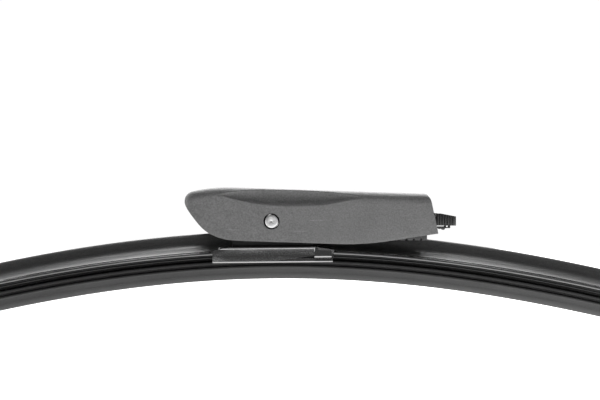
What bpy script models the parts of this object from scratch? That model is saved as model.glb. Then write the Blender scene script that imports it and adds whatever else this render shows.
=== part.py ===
"""Flat windscreen wiper blade with its arm connector, modelled as separate pieces.

Frame: metres, +Z up, +X along the blade towards the connector's open end, -Y the side that the
spoiler's hollow face looks at. The origin is the centre of the pivot pin. All sizes below are in
millimetres and are turned into metres where a mesh is made.
"""

import math

import bmesh
import bpy
from mathutils import Matrix, Vector

MM = 0.001

# Blade: the curve of the lip's edge, by arc length from the pivot pin
BLADE_LENGTH = 550.0
LIP_DROP = 19.3          # from the pin's centre down to the lip's edge
BOW_RADIUS = 393.0       # radius of the bow under the connector
BOW_REACH = 126.0        # arc length over which the bow loses half its curvature
REST_TILT = -0.55        # degrees that the blade leans on the pin at rest, open end up
STATION_PITCH = 12.5     # distance between the sections of a swept piece

# Heights above the lip's edge
HEAD_BOTTOM = 7.7
RAIL_BOTTOM = 8.8
RAIL_TOP = 9.7
SPOILER_BOTTOM = 9.9
CREST = 15.7

# Half widths
RAIL_INNER = 2.05
RAIL_OUTER = 7.0
HEAD_HALF = 4.6
WAIST_HALF = 1.75

RAIL_END = 272.0         # arc length of the rails' ends
SPOILER_START = 14.5     # arc length from which the spoiler keeps its full section
SPOILER_FRONT = -5.7     # where its hollow face runs out, over the front rail
TONGUE_START = 13.5      # arc length where the spoiler's tongue over the clamp starts
TONGUE_BOTTOM = 11.05    # height of the tongue's underside above the lip's edge
CAP_START = 256.0
CAP_LENGTH = 21.0
CAP_HALF = 7.9
CAP_END_WALL = 2.0
CAP_BOTTOM = 7.4
CAP_GAP = 0.3            # play between the cap's pocket and the rails
CLIP_START = 6.0         # where the clip starts and ends inside the cap
CLIP_END = 12.0
CLIP_SHEET = 0.15

# Centre clamp, a folded sheet round both rails
CLAMP_LEFT = -19.4
CLAMP_RIGHT = 19.7
CLAMP_TOP = -8.7
CLAMP_BOTTOM = -13.6
CLAMP_HALF = 8.0
SHEET = 0.8
CLAMP_LIP_HALF = 3.9     # half of the slot that the hooked lips leave
CLAMP_SHOULDER = 14.2    # where the sheet's top opens and its walls start to slope
CLAMP_TAPER = 1.1        # how far the walls slope down

# Pivot
PIN_RADIUS = 2.15
PIN_HALF = 10.85
LUG_HALF = 3.5
LUG_RADIUS = 3.3
SADDLE_HALF_LENGTH = 13.0
SADDLE_HALF_WIDTH = 5.5
SADDLE_BOTTOM = -8.5
SADDLE_TOP = -7.2
SADDLE_RIVET_X = 10.5
EAR_X = 9.6              # the saddle's ears reach from here to its ends
EAR_TOP = -5.6
EAR_SHEET = 0.9
RIVET_HOLE_RADIUS = 1.1
PIN_PLAY = 0.15
BUSH_BORE = 2.35
BUSH_RADIUS = 3.1

# Connector housing
HOUSING_LEFT = -28.6
HOUSING_HALF = 10.8      # half width behind the nose
HOUSING_END_HALF = 10.4  # half width at the open end
HOUSING_END = 53.9
EDGE_RADIUS = 3.0
NOSE_RADIUS = 4.5        # corner radius of the nose, seen from above
ROOF = 1.5
CAVITY_HALF = 8.8
CAVITY_LEFT = -24.0
CAVITY_CORNER = 2.0      # how far the cavity's nose is drawn in
HOLE_RADIUS = 2.6
SCOOP_RADIUS = 101.8     # sphere that scoops the finger grips
SCOOP_CENTRE = (7.5, 100.6, 52.6)
SCOOP_REACH = 32.0       # half length of the lens that the sphere leaves
SCOOP_DEPTH = 5.2

# Arm insert
INSERT_HALF = 8.5
SEAT_TOP = 2.7
SEAT_BOTTOM = 1.5
SKIRT_BOTTOM = -1.9
STOP_X = 8.0
INSERT_END = 52.0
SPINE_HALF = 1.0
SKIRT = 1.2              # thickness of the skirts
PAD_LEFT = 40.0
PAD_RIGHT = 50.7
PAD_BOTTOM = -6.3
PAD_FRONT = -7.0
PAD_REAR = 1.0

# Squeeze tabs
TAB_HINGE_X = 28.0
TAB_HINGE_Y = 4.05
TAB_BOTTOM = -1.5
TAB_START = 53.9
TAB_END = 60.4
TAB_INNER = 2.9
TAB_OUTER = 6.1
RIB_PITCH = 1.65
RIB_DEPTH = 0.35

ROUND_SIDES = 32


def clear_scene():
    """Remove whatever the startup file holds."""
    for obj in list(bpy.data.objects):
        bpy.data.objects.remove(obj, do_unlink=True)


def make_collection(name):
    collection = bpy.data.collections.new(name)
    bpy.context.scene.collection.children.link(collection)
    return collection


def make_material(name, colour, roughness, metallic):
    material = bpy.data.materials.new(name)
    material.use_nodes = True
    shader = material.node_tree.nodes["Principled BSDF"]
    shader.inputs["Base Color"].default_value = (*colour, 1.0)
    shader.inputs["Roughness"].default_value = roughness
    shader.inputs["Metallic"].default_value = metallic
    return material


clear_scene()
PARTS = make_collection("wiper_blade")
CUTTERS = make_collection("cutters")
FINISHES = {
    "housing_plastic": make_material("housing_plastic", (0.17, 0.17, 0.17), 0.6, 0.0),
    "insert_plastic": make_material("insert_plastic", (0.05, 0.05, 0.05), 0.5, 0.0),
    "rubber": make_material("rubber", (0.02, 0.02, 0.02), 0.5, 0.0),
    "spoiler": make_material("spoiler", (0.03, 0.03, 0.03), 0.4, 0.0),
    "rail_steel": make_material("rail_steel", (0.04, 0.04, 0.04), 0.35, 0.6),
    "clamp_steel": make_material("clamp_steel", (0.02, 0.02, 0.02), 0.3, 0.4),
    "pin_steel": make_material("pin_steel", (0.7, 0.7, 0.7), 0.3, 1.0),
}


# --------------------------------------------------------------------------- modelling helpers

def add_object(name, mesh, finish=None):
    """Put a mesh in the scene, as a part where it has a finish and as a cutter where it has none."""
    obj = bpy.data.objects.new(name, mesh)
    if finish:
        mesh.materials.clear()
        mesh.materials.append(FINISHES[finish])
        PARTS.objects.link(obj)
    else:
        CUTTERS.objects.link(obj)
        obj.hide_render = True
        obj.display_type = "WIRE"
    return obj


def curve_to_mesh(curve_object, name, matrix):
    """The closed mesh of a curve, moved by matrix; the curve is removed."""
    bpy.context.view_layer.update()
    evaluated = curve_object.evaluated_get(bpy.context.evaluated_depsgraph_get())
    mesh = bpy.data.meshes.new_from_object(evaluated)
    mesh.name = name
    work = bmesh.new()
    work.from_mesh(mesh)
    bmesh.ops.remove_doubles(work, verts=work.verts, dist=1e-6)
    bmesh.ops.transform(work, verts=work.verts, matrix=matrix)
    bmesh.ops.recalc_face_normals(work, faces=work.faces)
    work.to_mesh(mesh)
    work.free()
    bpy.data.objects.remove(curve_object, do_unlink=True)
    return mesh


def outline_curve(name, outline):
    """A closed flat curve through points in millimetres."""
    curve = bpy.data.curves.new(name, "CURVE")
    curve.dimensions = "2D"
    spline = curve.splines.new("POLY")
    spline.points.add(len(outline) - 1)
    for point, (u, v) in zip(spline.points, outline):
        point.co = (u * MM, v * MM, 0.0, 1.0)
    spline.use_cyclic_u = True
    return curve


def counter_clockwise(outline):
    """The same closed outline, turning to the left."""
    area = sum(u0 * v1 - u1 * v0 for (u0, v0), (u1, v1) in zip(outline, outline[1:] + outline[:1]))
    return outline if area > 0 else list(reversed(outline))


PLANES = {
    "XY": Matrix.Identity(4),
    "XZ": Matrix.Rotation(math.pi / 2, 4, "X"),
    "YZ": Matrix.Rotation(math.pi / 2, 4, "Z") @ Matrix.Rotation(math.pi / 2, 4, "X"),
}
ACROSS = {"XY": Vector((0, 0, 1)), "XZ": Vector((0, 1, 0)), "YZ": Vector((1, 0, 0))}


def prism(name, outline, plane, low, high, finish=None):
    """A flat outline in a plane, reaching from low to high across it."""
    curve = outline_curve(name, counter_clockwise(outline))
    curve.fill_mode = "BOTH"
    curve.extrude = (high - low) / 2 * MM
    obj = bpy.data.objects.new(name, curve)
    bpy.context.scene.collection.objects.link(obj)
    middle = Matrix.Translation(ACROSS[plane] * ((low + high) / 2 * MM))
    return add_object(name, curve_to_mesh(obj, name, middle @ PLANES[plane]), finish)


def box(name, low, high, finish=None):
    """A box between two corners in millimetres."""
    mesh = bpy.data.meshes.new(name)
    size = [(b - a) * MM for a, b in zip(low, high)]
    centre = [(a + b) / 2 * MM for a, b in zip(low, high)]
    work = bmesh.new()
    bmesh.ops.create_cube(work, size=1.0, matrix=Matrix.LocRotScale(centre, None, size))
    work.to_mesh(mesh)
    work.free()
    return add_object(name, mesh, finish)


def rod(name, radius, low, high, axis, centre, finish=None, sides=ROUND_SIDES):
    """A cylinder along Y or Z through a centre (the centre's value along the axis isn't used)."""
    mesh = bpy.data.meshes.new(name)
    turn = Matrix.Rotation(math.pi / 2, 4, "X") if axis == "Y" else Matrix.Identity(4)
    place = Vector(centre) * MM
    place["XYZ".index(axis)] = (low + high) / 2 * MM
    work = bmesh.new()
    bmesh.ops.create_cone(work, cap_ends=True, segments=sides, radius1=radius * MM, radius2=radius * MM,
                          depth=(high - low) * MM, matrix=Matrix.Translation(place) @ turn)
    work.to_mesh(mesh)
    work.free()
    return add_object(name, mesh, finish)


def turned(name, profile, finish, matrix, sides=ROUND_SIDES, closed=False):
    """A profile of (radius, height) points, top to bottom, turned round Z by a Screw modifier."""
    mesh = bpy.data.meshes.new(name)
    edges = [(i, i + 1) for i in range(len(profile) - 1)]
    if closed:
        edges.append((len(profile) - 1, 0))
    mesh.from_pydata([(r * MM, 0, z * MM) for r, z in profile], edges, [])
    obj = add_object(name, mesh, finish)
    obj.matrix_world = matrix
    screw = obj.modifiers.new("turn", "SCREW")
    screw.steps = sides
    screw.render_steps = sides
    screw.use_merge_vertices = True
    screw.merge_threshold = 0.00001
    return obj


def cut(obj, cutter, operation="DIFFERENCE"):
    boolean = obj.modifiers.new(cutter.name, "BOOLEAN")
    boolean.operation = operation
    boolean.object = cutter
    return obj


def arc(centre, radius, start, end, steps):
    """Points of an arc in the plane, angles in degrees."""
    angles = [math.radians(start + (end - start) * i / steps) for i in range(steps + 1)]
    return [(centre[0] + radius * math.cos(a), centre[1] + radius * math.sin(a)) for a in angles]


def rectangle(u0, v0, u1, v1):
    return [(u0, v0), (u1, v0), (u1, v1), (u0, v1)]


def mirrored(half):
    """A closed outline from its half at u >= 0, bottom to top."""
    return half + [(-u, v) for u, v in reversed(half)]


# --------------------------------------------------------------------------- the blade's bow

def heading(s):
    """Downward slope of the blade, in radians, at arc length s from the pin."""
    return BOW_REACH / BOW_RADIUS * math.atan(s / BOW_REACH)


def lip_point(s):
    """The lip's edge at arc length s, as (x, z), by adding up short steps from the middle."""
    steps = max(1, int(abs(s) / 2.0))
    step = s / steps
    x, z = 0.0, -LIP_DROP
    for i in range(steps):
        slope = heading((i + 0.5) * step)
        x += math.cos(slope) * step
        z -= math.sin(slope) * step
    return x, z


def stations(start, end):
    """Arc lengths from start to end, on the common pitch in between."""
    first = math.floor(start / STATION_PITCH) + 1
    last = math.ceil(end / STATION_PITCH) - 1
    inner = [i * STATION_PITCH for i in range(first, last + 1)]
    inner = [s for s in inner if s - start > 1.0 and end - s > 1.0]
    return [start, *inner, end]


def sweep(name, section, start, end, finish):
    """A section of (across, height above the lip) points, swept along the blade."""
    profile = outline_curve(name + "_section", [(-y, height) for y, height in section])
    profile_object = bpy.data.objects.new(name + "_section", profile)
    bpy.context.scene.collection.objects.link(profile_object)
    curve = bpy.data.curves.new(name, "CURVE")
    curve.dimensions = "3D"
    curve.twist_mode = "Z_UP"
    curve.bevel_mode = "OBJECT"
    curve.bevel_object = profile_object
    curve.use_fill_caps = True
    path = [lip_point(s) for s in stations(start, end)]
    spline = curve.splines.new("POLY")
    spline.points.add(len(path) - 1)
    for point, (x, z) in zip(spline.points, path):
        point.co = (x * MM, 0.0, z * MM, 1.0)
    obj = bpy.data.objects.new(name, curve)
    bpy.context.scene.collection.objects.link(obj)
    mesh = curve_to_mesh(obj, name, Matrix.Identity(4))
    bpy.data.objects.remove(profile_object, do_unlink=True)
    return add_object(name, mesh, finish)


def on_blade(s):
    """Matrix that puts a piece drawn at the origin on the blade at arc length s."""
    x, z = lip_point(s)
    return Matrix.Translation((x * MM, 0, z * MM)) @ Matrix.Rotation(heading(s), 4, "Y")


# --------------------------------------------------------------------------- blade pieces

def wiper_element():
    half = [(0.35, 0.0), (0.45, 1.0), (0.8, 2.1), (2.3, 3.6), (2.9, 4.0), (2.9, 4.55),
            (2.0, 4.75), (2.0, 5.25), (3.2, 5.45), (3.2, 6.3), (0.6, 6.6), (0.6, 7.4),
            (HEAD_HALF, HEAD_BOTTOM),
            (HEAD_HALF, RAIL_BOTTOM - 0.25), (WAIST_HALF, RAIL_BOTTOM - 0.25), (WAIST_HALF, RAIL_TOP - 0.05)]
    reach = BLADE_LENGTH / 2 - 1.0
    return sweep("wiper_element", mirrored(half), -reach, reach, "rubber")


def rail(name, side):
    section = rectangle(side * RAIL_INNER, RAIL_BOTTOM, side * RAIL_OUTER, RAIL_TOP)
    return sweep(name, section, -RAIL_END, RAIL_END, "rail_steel")


def spoiler(name, side):
    """Hollow-faced extrusion whose last stretch is notched to lie over the clamp."""
    hollow = [(4.2, 15.5), (3.75, 14.0), (3.1, 12.9), (2.2, 11.95), (0.9, 11.2), (-1.2, 10.65),
              (-3.6, 10.3), (SPOILER_FRONT, 10.12)]
    section = [(SPOILER_FRONT, SPOILER_BOTTOM), (5.3, SPOILER_BOTTOM), (5.35, 11.6), (5.0, 15.4),
               (4.7, CREST), *hollow]
    extrusion = sweep(name, section, *sorted((side * TONGUE_START, side * (CAP_START - CAP_GAP))), "spoiler")
    low, high = sorted((side * (TONGUE_START - 2.0), side * SPOILER_START))
    notch = sweep(name + "_notch", rectangle(-6.5, SPOILER_BOTTOM - 1.0, 6.0, TONGUE_BOTTOM), low, high, None)
    return cut(extrusion, notch)


def end_cap(name, side):
    low, high = sorted((0.0, side * CAP_LENGTH))
    outer = [(-CAP_HALF, CAP_BOTTOM), (CAP_HALF, CAP_BOTTOM), (CAP_HALF, 10.5), (6.4, 12.2),
             (5.8, 15.7), (5.2, 16.4), (4.2, 16.2), (3.2, 14.8), (1.4, 13.4), (-1.0, 12.4),
             (-4.2, 11.5), (-CAP_HALF, 10.5)]
    place = on_blade(side * CAP_START)
    cap = prism(name, outer, "YZ", low, high, "spoiler")
    cap.data.transform(place)
    low, high = sorted((-side * 1.0, side * (CAP_LENGTH - CAP_END_WALL)))
    pocket = box(name + "_pocket", (low, -RAIL_OUTER - CAP_GAP, RAIL_BOTTOM - CAP_GAP),
                 (high, RAIL_OUTER + CAP_GAP, RAIL_TOP + CAP_GAP))
    slot = box(name + "_slot", (low, -5.0, 5.0), (high + side * 0.01, 5.0, RAIL_BOTTOM - 0.1))
    slope = [(side * 4.0, 17.2), (side * (CAP_LENGTH - 1.5), 11.7), (side * (CAP_LENGTH + 1.0), 9.2),
             (side * (CAP_LENGTH + 1.0), 17.2)]
    for cutter in (prism(name + "_tip", slope, "XZ", -12.0, 12.0), pocket, slot):
        cutter.data.transform(place)
        cut(cap, cutter)
    return cap


def rail_clip(name, side):
    """Sheet staple over both rails inside the end cap."""
    inner, roof = RAIL_OUTER + 0.05, RAIL_TOP + 0.1
    outer, crown = inner + CLIP_SHEET, roof + CLIP_SHEET
    outside = [(outer, RAIL_BOTTOM - 0.1), (outer, crown), (-outer, crown), (-outer, RAIL_BOTTOM - 0.1)]
    inside = [(-inner, RAIL_BOTTOM - 0.1), (-inner, roof), (inner, roof), (inner, RAIL_BOTTOM - 0.1)]
    clip = prism(name, outside + inside, "YZ", *sorted((side * CLIP_START, side * CLIP_END)), "pin_steel")
    clip.data.transform(on_blade(side * CAP_START))
    return clip


def centre_clamp():
    inner_half = CLAMP_HALF - SHEET
    outside = mirrored([(CLAMP_LIP_HALF, CLAMP_BOTTOM), (CLAMP_HALF, CLAMP_BOTTOM), (CLAMP_HALF, CLAMP_TOP)])
    inside = mirrored([(CLAMP_LIP_HALF, CLAMP_BOTTOM + SHEET), (inner_half, CLAMP_BOTTOM + SHEET),
                       (inner_half, CLAMP_TOP - SHEET)])
    clamp = prism("centre_clamp", outside + inside[::-1], "YZ", CLAMP_LEFT, CLAMP_RIGHT, "clamp_steel")
    for side, end in ((-1, CLAMP_LEFT), (1, CLAMP_RIGHT)):
        label = "left" if side < 0 else "right"
        above, foot = CLAMP_TOP + 1.0, CLAMP_TOP - CLAMP_TAPER
        wedge = [(side * CLAMP_SHOULDER, above), (side * CLAMP_SHOULDER, CLAMP_TOP), (end, foot),
                 (end + side, foot - 0.2), (end + side, above)]
        cut(clamp, prism(f"clamp_taper_{label}", wedge, "XZ", -10.0, 10.0))
        low, high = sorted((side * CLAMP_SHOULDER, end + side))
        cut(clamp, box(f"clamp_open_{label}", (low, -inner_half, CLAMP_TOP - 2.0), (high, inner_half, above)))
        cut(clamp, rod(f"clamp_hole_{label}", RIVET_HOLE_RADIUS, CLAMP_TOP - 2.0, above, "Z",
                       (side * SADDLE_RIVET_X, 0, 0)))
    return clamp


def pivot_saddle():
    """Foot on the clamp with the lug that carries the pin."""
    lug = [(-8.0, SADDLE_BOTTOM), (8.0, SADDLE_BOTTOM), (8.0, SADDLE_TOP),
           *arc((0, 0), LUG_RADIUS, -20, 200, 16), (-8.0, SADDLE_TOP)]
    saddle = prism("pivot_saddle", lug, "XZ", -LUG_HALF, LUG_HALF, "clamp_steel")
    foot = box("saddle_foot", (-SADDLE_HALF_LENGTH, -SADDLE_HALF_WIDTH, SADDLE_BOTTOM),
               (SADDLE_HALF_LENGTH, SADDLE_HALF_WIDTH, SADDLE_TOP))
    cut(saddle, foot, "UNION")
    for end in (-1, 1):
        for side in (-1, 1):
            low, high = sorted((end * EAR_X, end * SADDLE_HALF_LENGTH))
            near, far = sorted((side * SADDLE_HALF_WIDTH, side * (SADDLE_HALF_WIDTH - EAR_SHEET)))
            ear = box(f"saddle_ear_{end}_{side}", (low, near, SADDLE_BOTTOM + 0.2), (high, far, EAR_TOP))
            cut(saddle, ear, "UNION")
    cut(saddle, rod("saddle_bore", PIN_RADIUS + PIN_PLAY, -9.0, 9.0, "Y", (0, 0, 0)))
    for side, label in ((-1, "left"), (1, "right")):
        cut(saddle, rod(f"saddle_hole_{label}", RIVET_HOLE_RADIUS, SADDLE_BOTTOM - 1.0, SADDLE_TOP + 1.0, "Z",
                        (side * SADDLE_RIVET_X, 0, 0)))
    return saddle


def saddle_rivet(name, side):
    head = [(0.0, 0.9), (0.9, 0.75), (1.7, 0.2), (1.7, 0.0), (0.9, 0.0), (0.9, -2.3), (0.0, -2.3)]
    place = Matrix.Translation((side * SADDLE_RIVET_X * MM, 0, (SADDLE_TOP + 0.1) * MM))
    return turned(name, head, "pin_steel", place, 20)


def along_y(y, side):
    """Matrix that turns +Z towards side * +Y and moves the origin to y."""
    return Matrix.Translation((0, y * MM, 0)) @ Matrix.Rotation(-side * math.pi / 2, 4, "X")


def pivot_rivet():
    end = [(0.0, PIN_HALF - 0.3), (0.45, PIN_HALF), (PIN_RADIUS - 0.25, PIN_HALF),
           (PIN_RADIUS, PIN_HALF - 0.25)]
    profile = end + [(r, -z) for r, z in reversed(end)]
    return turned("pivot_rivet", profile, "pin_steel", along_y(0, 1))


def ring(name, inner, outer, low, high, side, finish):
    profile = [(inner, high), (outer, high), (outer, low), (inner, low)]
    return turned(name, profile, finish, along_y(0, side), closed=True)


# --------------------------------------------------------------------------- connector pieces

# Top line of the housing from the nose to the open end
TOP_LINE = [(-28.6, 6.4), (-28.3, 7.9), (-27.4, 9.0), (-25.8, 9.75), (-21.6, 10.45), (-17.7, 10.8),
            (-13.9, 10.84), (0.0, 10.45), (19.0, 9.8), (36.0, 9.2), (56.0, 8.6)]
# Lower edge from the open end's corner back to the nose
LOWER_LINE = [(53.9, -4.0), (51.7, -4.3), (45.5, -5.2), (39.8, -6.1), (34.0, -6.9), (28.0, -7.3),
              (22.6, -7.35), (9.4, -6.9), (-0.6, -6.6), (-11.4, -6.3), (-15.9, -5.6), (-18.7, -4.6),
              (-20.8, -3.5), (-22.9, -1.7), (-24.9, 0.7), (-26.9, 3.3), (-28.0, 5.0), (-28.6, 6.4)]
# Sloping cut of the open end, top to bottom
END_LINE = [(50.2, 10.0), (50.4, 8.6), (51.6, 6.8), (52.6, 2.3), (53.5, -1.5)]


def along_line(line, x):
    """Height of a line of points at x."""
    for (x0, z0), (x1, z1) in zip(line, line[1:]):
        if x <= x1:
            return z0 + (z1 - z0) * (x - x0) / (x1 - x0)
    return line[-1][1]


def housing_half_width(x):
    """Half width of the housing at x: a slow taper, and a rounded corner at the nose."""
    share = (x - HOUSING_LEFT) / (HOUSING_END - HOUSING_LEFT)
    taper = HOUSING_HALF + (HOUSING_END_HALF - HOUSING_HALF) * share
    into_corner = HOUSING_LEFT + NOSE_RADIUS - x
    if into_corner <= 0:
        return taper
    return taper - NOSE_RADIUS + math.sqrt(max(0.0, NOSE_RADIUS ** 2 - into_corner ** 2))


def arch(half, top, bottom, radius):
    """Outline of a hood: flat sides, a flat roof and rounded shoulders."""
    shoulder = arc((half - radius, top - radius), radius, 0, 90, 4)
    return mirrored([(half, bottom), *shoulder])


def loft(name, sections, finish=None):
    """Skin over outlines of equal length, each at its own x."""
    work = bmesh.new()
    rings = []
    for x, outline in sections:
        verts = [work.verts.new((x * MM, y * MM, z * MM)) for y, z in outline]
        rings.append([work.edges.new((a, b)) for a, b in zip(verts, verts[1:] + verts[:1])])
        if x in (sections[0][0], sections[-1][0]):
            work.faces.new(verts)
    for before, after in zip(rings, rings[1:]):
        bmesh.ops.bridge_loops(work, edges=before + after)
    bmesh.ops.recalc_face_normals(work, faces=work.faces)
    mesh = bpy.data.meshes.new(name)
    work.to_mesh(mesh)
    work.free()
    return add_object(name, mesh, finish)


def scoop(name, side):
    """Shallow turned lens that cuts one finger grip out of the housing's shoulder."""
    rings = 7
    angles = [SCOOP_REACH / rings * i / SCOOP_RADIUS for i in range(rings + 1)]
    face = [(SCOOP_RADIUS * math.sin(a), SCOOP_RADIUS * math.cos(a)) for a in angles]
    profile = face + [(face[-1][0], SCOOP_RADIUS - 2 * SCOOP_DEPTH), (0.0, SCOOP_RADIUS - 2 * SCOOP_DEPTH)]
    x, y, z = SCOOP_CENTRE
    centre = Vector((x, side * y, z)) * MM
    edge = Vector((x, side * HOUSING_HALF, 10.3)) * MM
    turn = (edge - centre).to_track_quat("Z", "X").to_matrix().to_4x4()
    cutter = turned(name, profile, None, Matrix.Translation(centre) @ turn, 64)
    return cutter


def housing():
    nose = [HOUSING_LEFT + d for d in (0.05, 0.5, 1.2, 2.2, 3.4, 4.5)]
    along = nose + [-20.0, -15.0, -10.0, 0.0, 15.0, 35.0, 56.0]
    sections = []
    for x in along:
        half = housing_half_width(x)
        top = along_line(TOP_LINE, x)
        radius = min(EDGE_RADIUS, half * 0.6)
        sections.append((x, arch(half, top, -9.0, radius)))
    shell = loft("housing", sections, "housing_plastic")
    side_view = TOP_LINE[:3] + [(-25.6, 14.0), (50.0, 14.0)] + END_LINE + LOWER_LINE[:-1]
    cut(shell, prism("housing_outline", side_view, "XZ", -12.0, 12.0), "INTERSECT")
    inside = []
    for x in (CAVITY_LEFT, CAVITY_LEFT + CAVITY_CORNER, -14.0, 0.0, 20.0, 60.0):
        narrow = CAVITY_CORNER if x == CAVITY_LEFT else 0.0
        top = along_line(TOP_LINE, x) - ROOF - narrow
        inside.append((x, arch(CAVITY_HALF - narrow, top, -12.0, EDGE_RADIUS)))
    cut(shell, loft("housing_cavity", inside))
    cut(shell, rod("housing_pin_hole", HOLE_RADIUS, -15.0, 15.0, "Y", (0, 0, 0)))
    cut(shell, scoop("grip_scoop_front", -1))
    cut(shell, scoop("grip_scoop_rear", 1))
    return shell


def arm_insert():
    """Block on the pivot with the long seat that the arm's end slides on."""
    block = [(-8.0, 2.0), (-8.0, -2.0), *arc((-5.5, -2.0), 2.5, 180, 270, 4),
             *arc((5.0, -1.5), 3.0, 270, 360, 4), (STOP_X, SKIRT_BOTTOM + 1.4), (9.5, SKIRT_BOTTOM),
             (INSERT_END, SKIRT_BOTTOM), (INSERT_END, SEAT_TOP),
             (STOP_X, SEAT_TOP), (STOP_X, 5.6), (-5.0, 5.6)]
    insert = prism("arm_insert", block, "XZ", -INSERT_HALF, INSERT_HALF, "insert_plastic")
    cut(insert, box("insert_lug_slot", (-9.0, -4.3, -6.0), (6.5, 4.3, 4.2)))
    for side, label in ((-1, "front"), (1, "rear")):
        low, high = sorted((side * SPINE_HALF, side * (INSERT_HALF - SKIRT)))
        cut(insert, box(f"insert_pocket_{label}", (10.0, low, SKIRT_BOTTOM - 1.0), (53.0, high, SEAT_BOTTOM)))
    cut(insert, rod("insert_bore", BUSH_RADIUS + PIN_PLAY, -9.0, 9.0, "Y", (0, 0, 0)))
    return insert


def squeeze_tab(name, side):
    """Sprung finger: round root, arm and ribbed head, with a catch lip under the head."""
    head = [(TAB_START, side * TAB_INNER), (TAB_START, side * TAB_OUTER), (TAB_END, side * TAB_OUTER),
            (TAB_END, side * (TAB_INNER + 0.3)), (TAB_END - 0.6, side * TAB_INNER)]
    tab = prism(name, head, "XY", TAB_BOTTOM, 2.5, "insert_plastic")
    reach = sorted((side * 3.3, side * 4.8))
    cut(tab, box(name + "_arm", (TAB_HINGE_X, reach[0], TAB_BOTTOM + 0.1), (54.5, reach[1], 1.2)), "UNION")
    cut(tab, rod(name + "_root", 1.3, TAB_BOTTOM, 1.3, "Z", (TAB_HINGE_X, side * TAB_HINGE_Y, 0), sides=20),
        "UNION")
    reach = sorted((side * (TAB_OUTER - RIB_DEPTH), side * (TAB_OUTER + 1.0)))
    for i in range(4):
        groove = TAB_START + RIB_PITCH * i
        cut(tab, box(f"{name}_groove_{i}", (groove - 0.2, reach[0], -4.0), (groove + 0.6, reach[1], 4.0)))
    slope = [(50.0, 2.6), (55.3, 2.5), (61.0, 1.4), (61.0, 4.0), (50.0, 4.0)]
    lip = [(51.2, -2.6), (57.7, -2.6), (57.7, -1.2), (56.5, -1.2), (56.5, -2.0), (51.2, -2.0)]
    reach = sorted((side * 3.5, side * 5.5))
    cut(tab, prism(name + "_lip", lip, "XZ", *reach), "UNION")
    cut(tab, prism(name + "_slope", slope, "XZ", -9.0, 9.0))
    return tab


def stop_pad():
    """Ribbed pad under the insert's tail, which meets the spoiler when the blade rocks fully back."""
    top = SKIRT_BOTTOM - 0.3
    ribs = []
    for i in range(4):
        x = PAD_LEFT + 1.2 + i * 2.4
        ribs += [(x, PAD_BOTTOM), (x, PAD_BOTTOM + 0.5), (x + 0.7, PAD_BOTTOM + 0.5), (x + 0.7, PAD_BOTTOM)]
    outline = [(PAD_LEFT, top), (PAD_LEFT, PAD_BOTTOM + 0.6), (PAD_LEFT + 0.6, PAD_BOTTOM), *ribs,
               (PAD_RIGHT - 0.4, PAD_BOTTOM), (PAD_RIGHT, PAD_BOTTOM + 0.4), (PAD_RIGHT, top)]
    return prism("stop_pad", outline, "XZ", PAD_FRONT, PAD_REAR, "insert_plastic")


# --------------------------------------------------------------------------- assembly

def joint_empty(name, place):
    """Empty on a joint's axis, which the pieces of the moving body hang from."""
    empty = bpy.data.objects.new(name, None)
    empty.location = Vector(place) * MM
    PARTS.objects.link(empty)
    bpy.context.view_layer.update()
    return empty


def hang(pieces, empty):
    """Parent pieces, and the cutters that shape them, to a joint's empty without moving them."""
    for piece in pieces:
        cutters = [modifier.object for modifier in piece.modifiers if modifier.type == "BOOLEAN"]
        for obj in [piece, *cutters]:
            obj.parent = empty
            obj.matrix_parent_inverse = empty.matrix_world.inverted()


def build():
    blade = [
        wiper_element(), rail("rail_front", -1), rail("rail_rear", 1),
        spoiler("spoiler_left", -1), spoiler("spoiler_right", 1),
        end_cap("end_cap_left", -1), end_cap("end_cap_right", 1),
        rail_clip("rail_clip_left", -1), rail_clip("rail_clip_right", 1),
        centre_clamp(), pivot_saddle(), saddle_rivet("saddle_rivet_left", -1),
        saddle_rivet("saddle_rivet_right", 1), pivot_rivet(),
        ring("pivot_washer_front", PIN_RADIUS + PIN_PLAY, 3.4, LUG_HALF + 0.1, 4.15, -1, "pin_steel"),
        ring("pivot_washer_rear", PIN_RADIUS + PIN_PLAY, 3.4, LUG_HALF + 0.1, 4.15, 1, "pin_steel"),
    ]
    pivot = joint_empty("blade_pivot", (0, 0, 0))
    hang(blade, pivot)
    pivot.rotation_euler.y = math.radians(REST_TILT)
    housing()
    arm_insert()
    ring("pivot_bush_front", BUSH_BORE, BUSH_RADIUS, 4.5, 8.4, -1, "insert_plastic")
    ring("pivot_bush_rear", BUSH_BORE, BUSH_RADIUS, 4.5, 8.4, 1, "insert_plastic")
    stop_pad()
    for side, label in ((-1, "front"), (1, "rear")):
        tab = squeeze_tab(f"squeeze_tab_{label}", side)
        hang([tab], joint_empty(f"tab_{label}_hinge", (TAB_HINGE_X, side * TAB_HINGE_Y, 0)))


build()
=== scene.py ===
"""Finished look of a flat windscreen wiper blade and its arm connector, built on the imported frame.

Sizes in the classes are millimetres along the frame's axes: +X runs along the blade towards the
connector's open end, -Y is the side the spoiler's hollow face looks at, and +Z points away from the
glass. The origin is the centre of the pivot pin.
"""

import logging
import math
from collections.abc import Sequence
from dataclasses import dataclass, field
from enum import Enum
from typing import Protocol

import bmesh
import bpy
from bmesh.types import BMesh, BMVert
from bpy.types import ID, Material, Mesh, Node, NodeSocket, Object
from mathutils import Matrix, Vector


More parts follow.
